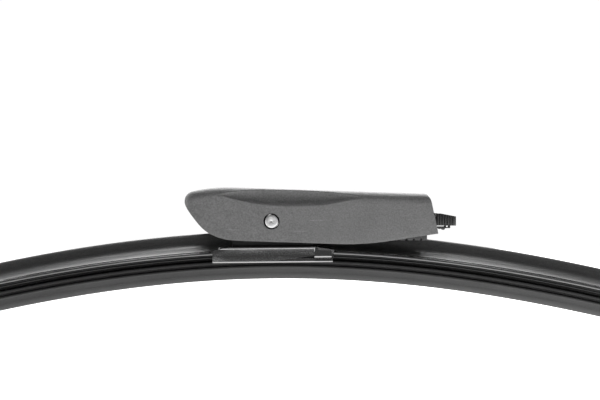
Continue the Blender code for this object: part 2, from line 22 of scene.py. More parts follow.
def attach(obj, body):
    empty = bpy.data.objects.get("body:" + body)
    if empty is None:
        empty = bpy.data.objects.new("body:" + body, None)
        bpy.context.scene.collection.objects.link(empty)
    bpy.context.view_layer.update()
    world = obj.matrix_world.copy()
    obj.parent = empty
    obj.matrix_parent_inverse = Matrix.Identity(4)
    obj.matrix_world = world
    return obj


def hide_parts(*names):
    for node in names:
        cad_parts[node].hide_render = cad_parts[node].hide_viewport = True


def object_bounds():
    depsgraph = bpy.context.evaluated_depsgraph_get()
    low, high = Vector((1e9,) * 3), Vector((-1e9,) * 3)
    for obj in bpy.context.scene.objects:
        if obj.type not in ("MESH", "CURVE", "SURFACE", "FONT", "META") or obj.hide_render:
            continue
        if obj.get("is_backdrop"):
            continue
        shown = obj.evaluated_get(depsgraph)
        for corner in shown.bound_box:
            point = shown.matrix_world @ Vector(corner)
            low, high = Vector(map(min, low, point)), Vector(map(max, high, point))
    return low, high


MM = 0.001
MICRON = 0.000001
RIM_ANGLE = 52.0  # a cut piece's edges that turn by more degrees than this are rounded
UNBENT = "unbent"  # attribute: a point's place on the blade before it is bowed, in metres

LOG = logging.getLogger("wiper")

Point = tuple[float, float]
Corner = tuple[float, float, float]


class Side(Enum):
    """The two halves of the object on either side of the pin."""

    MINUS = -1
    PLUS = 1


# ------------------------------------------------------------------------------------ drawing


def arc(centre: Point, radius: float, start: float, end: float, steps: int) -> list[Point]:
    """Points along an arc.

    Args:
        centre: The arc's centre.
        radius: Its radius.
        start: The first point's angle in degrees.
        end: The last point's angle in degrees.
        steps: How many equal steps lie between them.

    Returns:
        steps + 1 points.
    """
    angles = [math.radians(start + (end - start) * i / steps) for i in range(steps + 1)]
    return [(centre[0] + radius * math.cos(a), centre[1] + radius * math.sin(a)) for a in angles]


def rounded(corners: Sequence[Corner], steps: int = 3, closed: bool = True) -> list[Point]:
    """An outline with its corners rounded.

    Args:
        corners: (u, v, radius) for each corner; a radius of 0 keeps the corner sharp.
        steps: Steps along each rounding.
        closed: Whether the last corner joins the first.

    Returns:
        The points of the outline.
    """
    points: list[Point] = []
    count = len(corners)
    for i, (u, v, radius) in enumerate(corners):
        here = Vector((u, v))
        if radius <= 0 or (not closed and i in (0, count - 1)):
            points.append((u, v))
            continue
        before = Vector(corners[i - 1][:2]) - here
        after = Vector(corners[(i + 1) % count][:2]) - here
        half_turn = before.angle(after) / 2
        reach = min(radius / math.tan(half_turn), before.length * 0.49, after.length * 0.49)
        first, last = here + before.normalized() * reach, here + after.normalized() * reach
        for k in range(steps + 1):
            t = k / steps
            middle = here * (2 * t * (1 - t)) + first * (1 - t) ** 2 + last * t ** 2
            points.append((middle.x, middle.y))
    return points


def smooth_line(points: Sequence[Point], steps: int = 4) -> list[Point]:
    """A smooth (Catmull-Rom) line through a few points, ends included.

    Args:
        points: The points it passes through.
        steps: Steps between two neighbours.

    Returns:
        The points of the line.
    """
    padded = [points[0], *points, points[-1]]
    line: list[Point] = []
    for i in range(len(points) - 1):
        a, b, c, d = (Vector(p) for p in padded[i:i + 4])
        for k in range(steps):
            t = k / steps
            p = 0.5 * (2 * b + (c - a) * t + (2 * a - 5 * b + 4 * c - d) * t * t
                       + (3 * b - a - 3 * c + d) * t ** 3)
            line.append((p.x, p.y))
    return [*line, points[-1]]


def height_at(line: Sequence[Point], x: float) -> float:
    """The height of a left-to-right line of points at x, held level past its ends."""
    if x <= line[0][0]:
        return line[0][1]
    for (x0, z0), (x1, z1) in zip(line, line[1:]):
        if x <= x1:
            return z0 + (z1 - z0) * (x - x0) / (x1 - x0)
    return line[-1][1]


def mirrored(half: Sequence[Point]) -> list[Point]:
    """A closed outline from its half at u >= 0, listed from bottom to top."""
    return [*half, *((-u, v) for u, v in reversed(half))]


# ------------------------------------------------------------------------------------ meshes


def mesh_of(name: str, bm: BMesh) -> Mesh:
    """A mesh made from a bmesh, which is freed."""
    mesh = bpy.data.meshes.new(name)
    bm.to_mesh(mesh)
    bm.free()
    return mesh


def put(name: str, data: ID) -> Object:
    """A new object in the scene."""
    obj = bpy.data.objects.new(name, data)
    bpy.context.scene.collection.objects.link(obj)
    return obj


def skin(rings: Sequence[Sequence[Vector]], closed: bool = True, caps: bool = True,
         marks: Sequence[Sequence[Vector]] | None = None) -> BMesh:
    """A surface through rings of equal length, by extruding the first from each to the next.

    Args:
        rings: Rings of points in millimetres.
        closed: Whether each ring's last point joins its first.
        caps: Whether the first and last ring are filled.
        marks: Each point's place on the straight blade, in millimetres.

    Returns:
        A new bmesh in metres, with the marks in an attribute where they are given.
    """
    bm = bmesh.new()
    layer = bm.verts.layers.float_vector.new(UNBENT) if marks else None
    verts = [bm.verts.new(p * MM) for p in rings[0]]
    levels = [verts]
    for ring in [None, *rings[1:]]:
        pairs = list(zip(verts, verts[1:])) + ([(verts[-1], verts[0])] if closed else [])
        if ring is None:
            for pair in pairs:
                bm.edges.new(pair)
            if caps:
                bm.faces.new(verts)
            continue
        made = bmesh.ops.extrude_edge_only(bm, edges=[bm.edges.get(pair) for pair in pairs])["geom"]
        fresh = {g for g in made if isinstance(g, BMVert)}
        verts = [next(e.other_vert(v) for e in v.link_edges if e.other_vert(v) in fresh) for v in verts]
        for vert, place in zip(verts, ring):
            vert.co = place * MM
        levels.append(verts)
    if caps:
        bm.faces.new(verts)
    if marks:
        for level, places in zip(levels, marks):
            for vert, place in zip(level, places):
                vert[layer] = place * MM
    bmesh.ops.recalc_face_normals(bm, faces=bm.faces)
    return bm


def slab(outline: Sequence[Point], low: float, high: float, turn: Matrix) -> BMesh:
    """A flat outline extruded from low to high along its own normal, then turned.

    Args:
        outline: Points (u, v) in millimetres.
        low: Where it starts along the normal.
        high: Where it ends.
        turn: The rotation from (u, v, normal) to the frame's axes.

    Returns:
        A new bmesh in metres.
    """
    return skin([[turn @ Vector((u, v, w)) for u, v in outline] for w in (low, high)])


FACING_Y = Matrix(((1, 0, 0), (0, 0, 1), (0, 1, 0)))  # (u, v, normal) to (x, z, y)
FACING_Z = Matrix.Identity(3)


def turned_about(profile: Sequence[Point], axis: Vector, centre: Vector, steps: int = 64) -> BMesh:
    """A profile spun round an axis.

    Args:
        profile: (radius, height along the axis) points in millimetres.
        axis: The axis's direction.
        centre: A point on it, in millimetres.
        steps: Steps round the full circle.

    Returns:
        A new bmesh in metres.
    """
    out = axis.orthogonal().normalized()
    bm = bmesh.new()
    verts = [bm.verts.new((centre + axis * h + out * r) * MM) for r, h in profile]
    edges = [bm.edges.new(pair) for pair in zip(verts, verts[1:])]
    bmesh.ops.spin(bm, geom=[*verts, *edges], cent=centre * MM, axis=axis, angle=math.tau, steps=steps,
                   use_merge=True)
    bmesh.ops.remove_doubles(bm, verts=bm.verts, dist=MICRON)
    bmesh.ops.recalc_face_normals(bm, faces=bm.faces)
    return bm


def collar(corners: Sequence[Corner], side: int) -> BMesh:
    """A ring round the pin.

    Args:
        corners: (radius, distance from the pin's middle, rounding) for each corner of its section.
        side: 1 for the rear of the pin, -1 for its front.

    Returns:
        A new bmesh in metres.
    """
    ring = rounded(corners, 2)
    return turned_about([*ring, ring[0]], Vector((0, side, 0)), Vector((0, 0, 0)), 48)


def soften(bm: BMesh, width: float, segments: int = 2, sharper_than: float = 40.0) -> None:
    """Bevel every edge that turns by more than an angle.

    Args:
        bm: The mesh to change.
        width: The bevel's width in millimetres.
        segments: Steps across it.
        sharper_than: The angle in degrees.
    """
    limit = math.radians(sharper_than)
    edges = [e for e in bm.edges if e.is_manifold and e.calc_face_angle() > limit]
    bmesh.ops.bevel(bm, geom=edges, offset=width * MM, segments=segments, affect="EDGES", profile=0.5,
                    material=-1, clamp_overlap=True)


def joined(meshes: Sequence[BMesh]) -> BMesh:
    """Several meshes of one piece put together; the first one is kept and the others are freed."""
    whole = meshes[0]
    for bm in meshes[1:]:
        copy = mesh_of("copy", bm)
        whole.from_mesh(copy)
        bpy.data.meshes.remove(copy)
    return whole


class Finish(Protocol):
    """What every finish gives: a name and a material."""

    name: str

    def material(self) -> Material:
        """Build the finish's material."""
        ...


@dataclass(frozen=True)
class Place:
    """Where a piece belongs in the assembly.

    Attributes:
        body: The body it moves with.
        slot: The material slot of the record that it belongs to; not used.
        nodes: The CAD nodes that it stands for.
    """

    body: str
    slot: str
    nodes: tuple[str, ...]


class Workshop:
    """Turns meshes into finished pieces of the model."""

    def __init__(self) -> None:
        """Start with no materials made."""
        self._materials: dict[str, Material] = {}

    def dress(self, obj: Object, finish: Finish) -> None:
        """Give an object a finish, made once and shared."""
        if finish.name not in self._materials:
            self._materials[finish.name] = finish.material()
        obj.data.materials.clear()
        obj.data.materials.append(self._materials[finish.name])

    def piece(self, name: str, bm: BMesh, finish: Finish, place: Place, crease: float = 35.0) -> Object:
        """Make a finished piece.

        Args:
            name: The piece's name.
            bm: Its mesh, which is freed.
            finish: Its finish.
            place: Where it belongs.
            crease: Edges that turn by more degrees than this stay sharp.

        Returns:
            The new object.
        """
        mesh = mesh_of(name, bm)
        mesh.shade_smooth()
        mesh.set_sharp_from_angle(angle=math.radians(crease))
        obj = put(name, mesh)
        self.dress(obj, finish)
        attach(obj, place.body)
        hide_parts(*place.nodes)
        LOG.info("made %s: %d faces, on %s", name, len(mesh.polygons), place.body)
        return obj

    def carve(self, obj: Object, cutters: Sequence[BMesh], rim: float, crease: float = 35.0) -> None:
        """Cut shapes out of a piece, then round its sharp edges.

        Args:
            obj: The piece.
            cutters: The shapes, which are freed.
            rim: The width of the rounding in millimetres.
            crease: Edges that turn by more degrees than this stay sharp.
        """
        tools = []
        for bm in cutters:
            tool = put("cutter", mesh_of("cutter", bm))
            tools.append(tool)
            modifier = obj.modifiers.new("cut", "BOOLEAN")
            modifier.object = tool
            modifier.solver = "EXACT"
        bevel = obj.modifiers.new("rim", "BEVEL")
        bevel.width = rim * MM
        bevel.segments = 3
        bevel.limit_method = "ANGLE"
        bevel.angle_limit = math.radians(RIM_ANGLE)
        bpy.context.view_layer.update()
        evaluated = obj.evaluated_get(bpy.context.evaluated_depsgraph_get())
        mesh = bpy.data.meshes.new_from_object(evaluated)
        obj.modifiers.clear()
        obj.data = mesh
        mesh.set_sharp_from_angle(angle=math.radians(crease))
        for tool in tools:
            bpy.data.objects.remove(tool, do_unlink=True)

    def from_node(self, node: str, finish: Finish, place: Place, rounding: float = 0.15) -> Object:
        """Make a piece from a CAD node's own shape, with its edges rounded.

        Args:
            node: The CAD node.
            finish: The piece's finish.
            place: Where it belongs.
            rounding: The width of the rounding in millimetres.

        Returns:
            The new object.
        """
        bm = bmesh.new()
        bm.from_mesh(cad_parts[node].data)
        bmesh.ops.remove_doubles(bm, verts=bm.verts, dist=2 * MICRON)
        bmesh.ops.dissolve_limit(bm, angle_limit=math.radians(1.0), verts=bm.verts, edges=bm.edges)
        soften(bm, rounding)
        return self.piece(f"{node}_finished", bm, finish, place)


# ------------------------------------------------------------------------------------ finishes


class Graph:
    """Short hand for one material's node tree."""

    def __init__(self, name: str) -> None:
        """Start a material whose tree holds a Principled BSDF and its output."""
        self.material = bpy.data.materials.new(name)
        self.material.use_nodes = True
        self.tree = self.material.node_tree
        self.shader = self.tree.nodes["Principled BSDF"]

    def node(self, kind: str, inputs: dict[str | int, object] | None = None, **settings: object) -> Node:
        """Add a node.

        Args:
            kind: Its type, such as ShaderNodeTexNoise.
            inputs: Values or sockets for its inputs, by name or number.
            settings: Its other properties.

        Returns:
            The node.
        """
        node = self.tree.nodes.new(kind)
        for key, value in settings.items():
            setattr(node, key, value)
        for key, value in (inputs or {}).items():
            self.feed(node.inputs[key], value)
        return node

    def feed(self, socket: NodeSocket, value: object) -> None:
        """Link a socket into an input, or set the input to a plain value."""
        if isinstance(value, NodeSocket):
            self.tree.links.new(value, socket)
        else:
            socket.default_value = value

    def set(self, **values: object) -> None:
        """Set the shader's inputs, with _ for a space and the words capitalised."""
        for key, value in values.items():
            words = key.replace("_", " ").title().replace("Ior", "IOR")
            self.feed(self.shader.inputs[words], value)

    def math(self, operation: str, a: object, b: object = 0.0, clamp: bool = False) -> NodeSocket:
        """The result of a Math node."""
        return self.node("ShaderNodeMath", {0: a, 1: b}, operation=operation, use_clamp=clamp).outputs[0]

    def place(self) -> NodeSocket:
        """Object coordinates."""
        return self.node("ShaderNodeTexCoord").outputs["Object"]

    def unbent(self) -> NodeSocket:
        """Coordinates along, across and above the blade before it was bowed."""
        return self.node("ShaderNodeAttribute", attribute_name=UNBENT).outputs["Vector"]

    def stretched(self, vector: NodeSocket, scale: tuple[float, float, float]) -> NodeSocket:
        """A vector scaled along each axis."""
        return self.node("ShaderNodeMapping", {"Vector": vector, "Scale": scale}).outputs["Vector"]

    def noise(self, vector: NodeSocket, scale: float, detail: float = 2.0, rough: float = 0.5) -> NodeSocket:
        """Noise of about 0.5 on average."""
        inputs = {"Vector": vector, "Scale": scale, "Detail": detail, "Roughness": rough}
        return self.node("ShaderNodeTexNoise", inputs).outputs["Fac"]

    def between(self, factor: NodeSocket, low: float, high: float, bottom: float, top: float) -> NodeSocket:
        """A factor mapped from low..high to bottom..top, and held there."""
        inputs = {"Value": factor, "From Min": low, "From Max": high, "To Min": bottom, "To Max": top}
        return self.node("ShaderNodeMapRange", inputs).outputs["Result"]

    def grey(self, value: NodeSocket) -> NodeSocket:
        """A neutral colour of that value."""
        return self.node("ShaderNodeCombineColor", {0: value, 1: value, 2: value}).outputs["Color"]

    def bump(self, height: NodeSocket, depth: float, onto: NodeSocket | None = None) -> NodeSocket:
        """A normal bumped by a height.

        Args:
            height: The height, from 0 to 1.
            depth: What a height of 1 is worth, in millimetres.
            onto: Another bump's normal to add it to.

        Returns:
            The normal.
        """
        inputs: dict[str | int, object] = {"Height": height, "Distance": depth * MM}
        if onto:
            inputs["Normal"] = onto
        return self.node("ShaderNodeBump", inputs).outputs["Normal"]


@dataclass(frozen=True)
class GrainedPlastic:
    """Moulded plastic with a spark-eroded grain.

    Attributes:
        name: The finish's name.
        shade: Its grey.
        roughness: Its roughness.
        grain: Width of one grain in millimetres.
        depth: Depth of the grain in millimetres.
        speckle: How far a grain's shade strays, as a share of the shade.
    """

    name: str
    shade: float
    roughness: float
    grain: float
    depth: float
    speckle: float

    def material(self) -> Material:
        """Build the material."""
        g = Graph(self.name)
        where = g.place()
        fine = g.noise(where, 1 / (self.grain * MM), detail=3.0, rough=0.6)
        patches = g.noise(where, 1 / (9.0 * MM), detail=2.0)
        fleck = g.between(fine, 0.25, 0.75, 1 - self.speckle, 1 + self.speckle)
        cloud = g.between(patches, 0.3, 0.7, 0.95, 1.05)
        streaks = g.noise(g.stretched(where, (60.0, 700.0, 700.0)), 1.0, detail=1.0)
        scratch = g.between(streaks, 0.70, 0.74, 1.0, 1.25)
        value = g.math("MULTIPLY", g.math("MULTIPLY", fleck, cloud), g.math("MULTIPLY", scratch, self.shade))
        pits = g.between(g.noise(where, 1 / (self.grain * 2.2 * MM), detail=1.0), 0.35, 0.65, 0.0, 1.0)
        g.set(base_color=g.grey(value),
              roughness=g.between(fine, 0.3, 0.7, self.roughness - 0.06, self.roughness + 0.08),
              normal=g.bump(pits, self.depth * 0.8, g.bump(fine, self.depth)))
        return g.material


@dataclass(frozen=True)
class ExtrudedRubber:
    """Black rubber drawn through a die, with fine lines along its length.

    Attributes:
        name: The finish's name.
        shade: Its grey.
        roughness: Its roughness.
        lines: Depth of the die's lines in millimetres.
        painted_lip_light: Painted light from below, added to the flank's grey and strongest at the lip's
            edge.
    """

    name: str
    shade: float
    roughness: float
    lines: float
    painted_lip_light: float = 0.0

    def material(self) -> Material:
        """Build the material."""
        g = Graph(self.name)
        where = g.unbent()
        drawn = g.noise(g.stretched(where, (12.0, 5200.0, 5200.0)), 1.0, detail=2.0)
        dust = g.noise(where, 1 / (0.5 * MM), detail=4.0, rough=0.7)
        smears = g.noise(g.stretched(where, (70.0, 400.0, 400.0)), 1.0, detail=2.0)
        gloss = 0.35 if self.painted_lip_light else 0.8
        value = g.between(dust, 0.3, 0.8, self.shade * 0.8, self.shade * 1.5)
        if self.painted_lip_light:
            # Painted light from below: the flank's grey is made lighter towards the lip's edge and fades out
            # 2.2 mm above it.
            height = g.node("ShaderNodeSeparateXYZ", {0: where}).outputs["Z"]
            value = g.math("ADD", value, g.between(height, 0.0, 2.2 * MM, self.painted_lip_light, 0.0))
        g.set(base_color=g.grey(value),
              roughness=g.between(smears, 0.3, 0.7, self.roughness - 0.05, self.roughness + 0.07),
              specular_ior_level=gloss,
              normal=g.bump(dust, self.lines * 0.25, g.bump(drawn, self.lines)))
        return g.material


@dataclass(frozen=True)
class CoatedSteel:
    """Sheet or spring steel under a black coat.

    Attributes:
        name: The finish's name.
        shade: The coat's grey.
        roughness: Its roughness.
        wear: How much brighter its worn patches are.
        metal: How metallic the coat looks, from 0 for paint to 1 for black nickel.
        bowed: Whether it is on the bowed blade, and so has unbent coordinates.
    """

    name: str
    shade: float
    roughness: float
    wear: float
    metal: float
    bowed: bool = False

    def material(self) -> Material:
        """Build the material."""
        g = Graph(self.name)
        where = g.unbent() if self.bowed else g.place()
        peel = g.noise(where, 1 / (1.1 * MM), detail=1.0)
        rubbed = g.noise(g.stretched(where, (90.0, 900.0, 900.0)), 1.0, detail=3.0)
        specks = g.noise(where, 1 / (0.3 * MM), detail=2.0)
        worn = g.between(rubbed, 0.55, 0.75, 0.0, 1.0)
        bare = g.math("MULTIPLY", worn, g.between(specks, 0.4, 0.7, 0.2, 1.0))
        value = g.math("ADD", g.math("MULTIPLY", bare, self.wear), self.shade)
        g.set(base_color=g.grey(value), metallic=self.metal,
              roughness=g.between(bare, 0.0, 1.0, self.roughness, self.roughness + 0.15),
              normal=g.bump(peel, 0.004))
        return g.material


@dataclass(frozen=True)
class TurnedSteel:
    """Bright steel with the rings that a lathe leaves round the Y axis.

    Attributes:
        name: The finish's name.
        shade: Its grey.
        roughness: Its roughness.
        pitch: Distance between the rings in millimetres.
    """

    name: str
    shade: float
    roughness: float
    pitch: float

    def material(self) -> Material:
        """Build the material."""
        g = Graph(self.name)
        where = g.place()
        flat = g.node("ShaderNodeVectorMath", {0: where, 1: (1.0, 0.0, 1.0)}, operation="MULTIPLY").outputs[0]
        radius = g.node("ShaderNodeVectorMath", {0: flat}, operation="LENGTH").outputs["Value"]
        rings = g.math("SINE", g.math("MULTIPLY", radius, math.tau / (self.pitch * MM)))
        height = g.between(rings, -1.0, 1.0, 0.0, 1.0)
        stain = g.noise(where, 1 / (0.8 * MM), detail=3.0)
        g.set(base_color=g.grey(g.between(stain, 0.3, 0.7, self.shade * 0.88, self.shade)), metallic=1.0,
              roughness=g.between(stain, 0.3, 0.7, self.roughness, self.roughness + 0.12),
              normal=g.bump(height, 0.008))
        return g.material


HOUSING_GREY = GrainedPlastic("housing_grey", shade=0.19, roughness=0.58, grain=0.5, depth=0.05, speckle=0.3)
INSERT_BLACK = GrainedPlastic("insert_black", shade=0.045, roughness=0.45, grain=0.25, depth=0.015,
                              speckle=0.1)
# The lip's flank carries painted light from below, lighter towards its edge.
LIP_RUBBER = ExtrudedRubber("lip_rubber", shade=0.02, roughness=0.5, lines=0.004, painted_lip_light=0.1)
SPOILER_RUBBER = ExtrudedRubber("spoiler_rubber", shade=0.085, roughness=0.42, lines=0.002)
RAIL_BLACK = CoatedSteel("rail_black", shade=0.16, roughness=0.28, wear=0.1, metal=0.9, bowed=True)
CLAMP_BLACK = CoatedSteel("clamp_black", shade=0.32, roughness=0.16, wear=0.06, metal=1.0)
# Painted shade: the saddle and its low walls get a near-black, dull, non-metallic coat that stands in for the
# shade they sit in under the cover.
SADDLE_PAINTED_SHADE = CoatedSteel("saddle_painted_shade", shade=0.012, roughness=0.5, wear=0.02, metal=0.0)
PIN_BRIGHT = TurnedSteel("pin_bright", shade=0.82, roughness=0.42, pitch=0.16)


# ------------------------------------------------------------------------------------ blade


@dataclass(frozen=True)
class Bow:
    """The curve that the blade is bowed along, by arc length from the pin.

    Attributes:
        lip_drop: From the pin's centre down to the lip's edge.
        radius: The bow's radius under the pin.
        reach: Arc length over which the bow loses half its curvature.
        tilt: Degrees that the blade leans on the pin at rest, open end up.
    """

    lip_drop: float = 19.3
    radius: float = 393.0
    reach: float = 126.0
    tilt: float = -0.55

    def heading(self, s: float) -> float:
        """Downward slope at arc length s, in radians."""
        return self.reach / self.radius * math.atan(s / self.reach)

    def frame(self, s: float) -> Matrix:
        """Matrix from (ahead, across, height above the lip) to the frame, in millimetres."""
        steps = max(1, int(abs(s) / 2.0))
        step = s / steps
        x, z = 0.0, -self.lip_drop
        for i in range(steps):
            slope = self.heading((i + 0.5) * step)
            x += math.cos(slope) * step
            z -= math.sin(slope) * step
        return self.lean() @ Matrix.Translation((x, 0, z)) @ Matrix.Rotation(self.heading(s), 4, "Y")

    def lean(self) -> Matrix:
        """The blade's lean on the pin at rest."""
        return Matrix.Rotation(math.radians(self.tilt), 4, "Y")


@dataclass
class Blade:
    """Everything that is as long as the blade, and the caps on its ends.

    Attributes:
        workshop: What makes the pieces.
        bow: The curve they follow.
        half_length: From the pin to the rubber's end.
        rail_end: From the pin to the rails' ends.
        spoiler_start: From the pin to where each spoiler has its full section.
        cap_start: From the pin to where each end cap starts.
        cap_length: Length of an end cap.
        pitch: Distance between two sections.
        crest: Height of the spoiler's crest above the lip's edge.
        foot: Height of its foot.
        tongue_start: From the pin to where each spoiler's tongue starts.
        tongue_bottom: Height of the tongue's underside.
    """

    workshop: Workshop
    bow: Bow = field(default_factory=Bow)
    half_length: float = 274.0
    rail_end: float = 272.0
    spoiler_start: float = 14.5
    cap_start: float = 256.0
    cap_length: float = 21.0
    pitch: float = 2.5
    crest: float = 15.7
    foot: float = 9.9
    tongue_start: float = 13.0
    tongue_bottom: float = 11.05

    def stations(self, start: float, end: float) -> list[float]:
        """Arc lengths from start to end, about one pitch apart."""
        count = max(2, round((end - start) / self.pitch))
        return [start + (end - start) * i / count for i in range(count + 1)]

    def sweep(self, section: Sequence[Point], start: float, end: float) -> BMesh:
        """Carry a section of (across, height above the lip) points along the bow."""
        lengths = self.stations(start, end)
        return self.loft(lengths, [section] * len(lengths))

    def loft(self, lengths: Sequence[float], sections: Sequence[Sequence[Point]]) -> BMesh:
        """Join sections along the bow.

        Args:
            lengths: The arc length of each section.
            sections: (across, height above the lip) points, as many in each.

        Returns:
            The mesh, with each point's place on the straight blade in an attribute.
        """
        rings, marks = [], []
        for s, section in zip(lengths, sections):
            frame = self.bow.frame(s)
            rings.append([frame @ Vector((0, y, h)) for y, h in section])
            marks.append([Vector((s, y, h)) for y, h in section])
        return skin(rings, marks=marks)

    def wiper_element(self) -> Object:
        """Rubber strip: lip, shoulders, beads, neck and the head that holds the rails."""
        half = [(0.35, 0.0, 0.12), (0.42, 1.0, 0.0), (0.75, 2.1, 0.5), (2.2, 3.55, 0.5), (2.95, 3.95, 0.15),
                (2.95, 4.5, 0.2), (1.9, 4.72, 0.1), (1.9, 5.25, 0.1), (3.25, 5.45, 0.2), (3.25, 6.3, 0.25),
                (0.6, 6.6, 0.2), (0.6, 7.4, 0.2), (4.5, 7.62, 0.15), (4.5, 7.95, 0.1), (3.9, 8.02, 0.05),
                (3.9, 8.22, 0.05), (4.6, 8.3, 0.08), (4.6, 8.55, 0.1), (1.75, 8.55, 0.1), (1.75, 9.65, 0.15)]
        other = [(-u, v, r) for u, v, r in reversed(half)]
        section = rounded([*half, *other])
        place = Place("blade", "rubber", ("wiper_element",))
        return self.workshop.piece("wiper_rubber", self.sweep(section, -self.half_length, self.half_length),
                                   LIP_RUBBER, place)

    def rail(self, side: Side, label: str) -> Object:
        """One flat spring-steel rail with rolled edges."""
        inner, outer = 2.05 * side.value, 7.0 * side.value
        section = rounded([(inner, 8.8, 0.25), (outer, 8.8, 0.3), (outer, 9.7, 0.3), (inner, 9.7, 0.25)])
        place = Place("blade", "rail_steel", (f"rail_{label}",))
        return self.workshop.piece(f"{label}_rail", self.sweep(section, -self.rail_end, self.rail_end),
                                   RAIL_BLACK, place)

    def spoiler_section(self) -> list[Point]:
        """Foot, upright back, rounded crest and the hollow face, which runs out over the front rail."""
        hollow = smooth_line([(4.3, 15.5), (3.8, 14.95), (3.42, 14.25), (3.18, 13.6), (2.98, 13.0),
                              (2.62, 12.35), (1.95, 11.7), (0.8, 11.1), (-1.2, 10.62), (-3.6, 10.28),
                              (-5.5, 10.12)])
        back = [(5.3, self.foot), (5.35, 11.2), (5.15, 14.8)]
        crown = arc((4.75, self.crest - 0.45), 0.45, 10, 115, 6)
        return [(-5.6, self.foot + 0.02), *back, *crown, *hollow, (-5.68, 10.04)]

    def spoiler(self, side: Side, label: str) -> Object:
        """One hollow-faced spoiler, from its tongue over the clamp to its end cap."""
        full = self.spoiler_section()
        tongue = [(max(y, 0.4), max(h, self.tongue_bottom)) for y, h in full]
        start = self.tongue_start if side is Side.MINUS else self.tongue_start - 0.3
        near = self.stations(start, self.spoiler_start)
        far = self.stations(self.spoiler_start + 0.02, self.cap_start - 0.3)
        lengths = [side.value * s for s in (*near, *far)]
        bm = self.loft(lengths, [tongue] * len(near) + [full] * len(far))
        bmesh.ops.remove_doubles(bm, verts=bm.verts, dist=MICRON)
        bmesh.ops.recalc_face_normals(bm, faces=bm.faces)
        place = Place("blade", "spoiler", (f"spoiler_{label}",))
        return self.workshop.piece(f"{label}_spoiler", bm, SPOILER_RUBBER, place)

    def end_cap(self, side: Side, label: str) -> Object:
        """Moulded cap over the ends of rails, rubber and spoiler, sloping to its tip."""
        stages = ((0.0, 1.0), (0.4, 1.0), (5.0, 1.0), (9.0, 0.86), (13.0, 0.66), (17.0, 0.44), (19.8, 0.26),
                  (20.7, 0.17), (21.0, 0.1))
        crest = ((6.3, 2.0), (5.85, 4.9), (5.2, 5.9), (4.2, 5.8), (3.2, 4.5), (1.4, 3.1), (-1.0, 2.1),
                 (-4.2, 1.2))
        matrix = self.bow.frame(side.value * self.cap_start)
        rings, marks = [], []
        for ahead, share in stages:
            half = 7.9 - (0.35 if ahead in (0.0, self.cap_length) else 0.0)
            corners = [(-half, 7.4, 0.4), (half, 7.4, 0.4), (half, 10.3, 0.5),
                       *((y, 10.5 + up * share, 0.5) for y, up in crest), (-half, 10.3, 0.5)]
            ring = [Vector((side.value * ahead, y, h)) for y, h in rounded(corners)]
            rings.append([matrix @ p for p in ring])
            marks.append([p + Vector((side.value * self.cap_start, 0, 0)) for p in ring])
        place = Place("blade", "spoiler", (f"end_cap_{label}",))
        obj = self.workshop.piece(f"{label}_end_cap", skin(rings, marks=marks), SPOILER_RUBBER, place)
        start, stop = sorted((-side.value * 1.0, side.value * (self.cap_length - 2.0)))
        cutters = []
        for half, low, high in ((7.3, 8.5, 10.0), (5.0, 5.0, 8.7)):
            outline = [(-half, low), (half, low), (half, high), (-half, high)]
            cutters.append(skin([[matrix @ Vector((x, y, h)) for y, h in outline] for x in (start, stop)]))
        self.workshop.carve(obj, cutters, 0.12)
        clip = Place("blade", "pin_steel", (f"rail_clip_{label}",))
        self.workshop.from_node(f"rail_clip_{label}", PIN_BRIGHT, clip, 0.03)
        return obj

    def build(self) -> None:
        """Make the blade's long pieces and its caps."""
        self.wiper_element()
        self.rail(Side.MINUS, "front")
        self.rail(Side.PLUS, "rear")
        for side, label in ((Side.MINUS, "left"), (Side.PLUS, "right")):
            self.spoiler(side, label)
            self.end_cap(side, label)


# ------------------------------------------------------------------------------------ pivot


